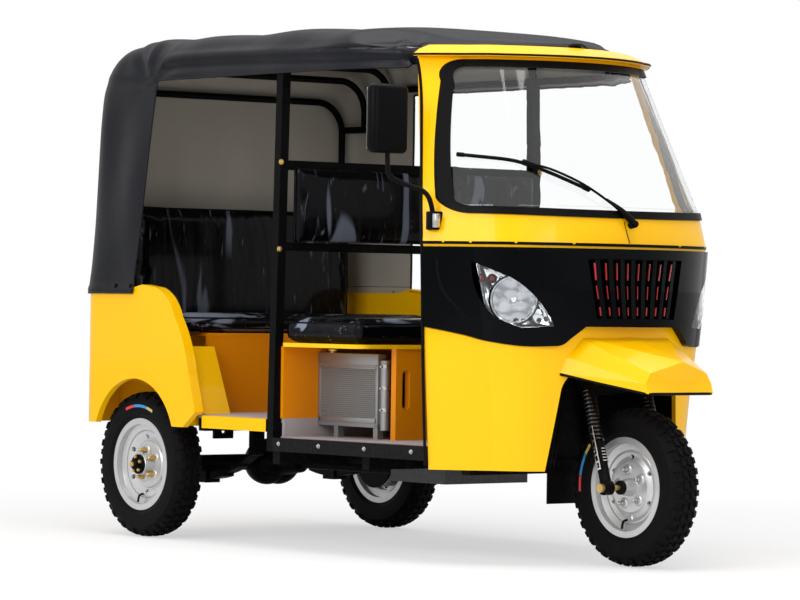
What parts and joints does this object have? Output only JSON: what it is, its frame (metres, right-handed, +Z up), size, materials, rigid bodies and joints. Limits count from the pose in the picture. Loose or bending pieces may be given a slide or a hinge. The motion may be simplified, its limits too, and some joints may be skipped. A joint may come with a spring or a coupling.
{
  "type": "auto rickshaw",
  "caption": "Three-wheeled passenger vehicle with an open cab, a fabric canopy on bent hoops, a steered front fork and a passenger bench.",
  "frame": {"origin": "on the ground, on the vehicle's centre plane, under the middle of its overall length", "axes": "+X forward, +Y to the vehicle's left, +Z up"},
  "size_m": [2.647, 1.447, 1.836],
  "materials": {
    "yellow_paint": "gloss",
    "black_paint": "satin",
    "wheel_silver": "satin",
    "tyre": "matt",
    "bright_steel": "satin",
    "floor_mat": "ribbed matt",
    "black_rubber": "matt",
    "seat_vinyl": "gloss",
    "radiator_alloy": "satin",
    "engine_grey": "rough",
    "black_plastic": "gloss",
    "grey_plastic": "matt",
    "lamp_silver": "bright",
    "clear_glass": "clear",
    "red_lamp": "gloss",
    "canopy_fabric": "matt"
  },
  "bodies": {
    "body": {"chassis_frame": "black_paint", "passenger_floor": "floor_mat", "driver_floor": "floor_mat", "sills": "black_paint", "rear_fender_right": "yellow_paint", "rear_fender_left": "yellow_paint", "tail_panel": "yellow_paint", "rear_wheelhouses": "yellow_paint", "bench_base": "yellow_paint", "passenger_cushion": "seat_vinyl", "passenger_backrest": "seat_vinyl", "partition_panel": "yellow_paint", "driver_seat_base": "yellow_paint", "driver_cushion": "seat_vinyl", "radiator": "radiator_alloy", "partition_frame": "black_paint", "driver_backrest": "seat_vinyl", "engine_block": "engine_grey", "rear_axle": "black_paint", "leaf_springs": "black_paint", "drive_shaft": "black_paint", "front_cowl": "yellow_paint", "front_mask": "black_plastic", "grille": "black_plastic", "headlight_bowls": "lamp_silver", "headlight_lenses": "clear_glass", "windscreen_frame": "yellow_paint", "windscreen_glass": "clear_glass", "windscreen_seal": "black_rubber", "shoulder_strip": "black_rubber", "visor": "yellow_paint", "dashboard": "grey_plastic", "toe_board": "yellow_paint", "front_mudguard": "yellow_paint", "mudflap": "black_rubber", "wiper": "black_plastic", "right_mirror": "black_plastic", "canopy": "canopy_fabric", "canopy_frame": "black_paint", "tail_lamps": "red_lamp"},
    "steering": {"fork": "black_paint", "fork_springs": "bright_steel", "front_axle": "bright_steel", "handlebar": "black_paint", "handlebar_grips": "black_rubber"},
    "front_wheel": {"front_tyre": "tyre", "front_rim": "wheel_silver"},
    "rear_wheel_right": {"rear_tyre_right": "tyre", "rear_rim_right": "wheel_silver"},
    "rear_wheel_left": {"rear_tyre_left": "tyre", "rear_rim_left": "wheel_silver"}
  },
  "joints": [
    {"name": "steering", "type": "hinge", "parent": "body", "child": "steering", "pos_m": [1.02225, 0, 0.2543], "axis": [-0.2924, 0, 0.9563], "range_deg": [-40, 40]},
    {"name": "front_wheel_spin", "type": "hinge", "parent": "steering", "child": "front_wheel", "pos_m": [1.0605, 0, 0.266], "axis": [0, 1, 0], "continuous": true},
    {"name": "rear_wheel_right_spin", "type": "hinge", "parent": "body", "child": "rear_wheel_right", "pos_m": [-0.9495, -0.559, 0.266], "axis": [0, 1, 0], "continuous": true},
    {"name": "rear_wheel_left_spin", "type": "hinge", "parent": "body", "child": "rear_wheel_left", "pos_m": [-0.9495, 0.559, 0.266], "axis": [0, 1, 0], "continuous": true}
  ]
}
